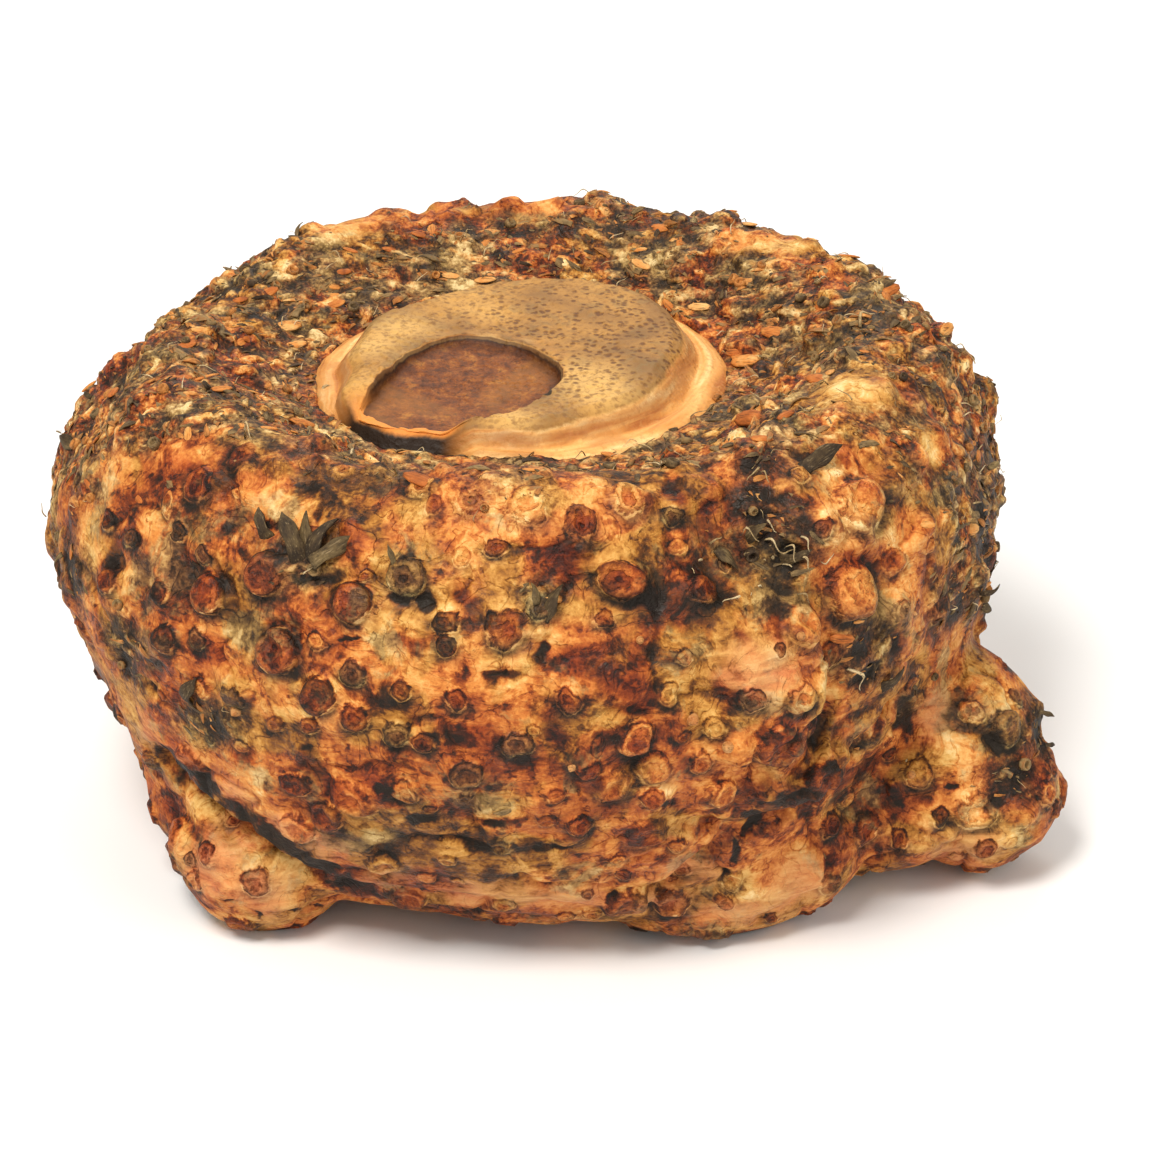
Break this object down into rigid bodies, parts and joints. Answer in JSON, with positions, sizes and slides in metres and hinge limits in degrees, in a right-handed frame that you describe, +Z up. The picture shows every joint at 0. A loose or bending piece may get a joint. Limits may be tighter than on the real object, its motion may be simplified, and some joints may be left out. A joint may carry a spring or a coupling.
{
  "type": "elephant foot yam",
  "caption": "Broad natural corm with a dished scaly crown, an oval leaf-stalk scar, ringed eyes over its flanks and daughter corms fused to its foot; it rests on a flat underside.",
  "frame": {"origin": "on the flat resting face of the underside, below the corm's growing axis", "axes": "+Z up along the growing axis, -Y towards the front that the picture shows, +X towards the large daughter corm"},
  "size_m": [0.2564, 0.2369, 0.1299],
  "materials": {
    "corm_skin": "matt natural corm skin, orange-tan with dark brown ringed eyes",
    "leaf_scar": "matt dry cut tissue of the leaf-stalk scar, cream with fine brown stippling",
    "dry_scale": "dull papery dry scale leaves and root stubs, dark olive brown to tan"
  },
  "bodies": {
    "root": {"corm": "corm_skin"}
  },
  "joints": []
}
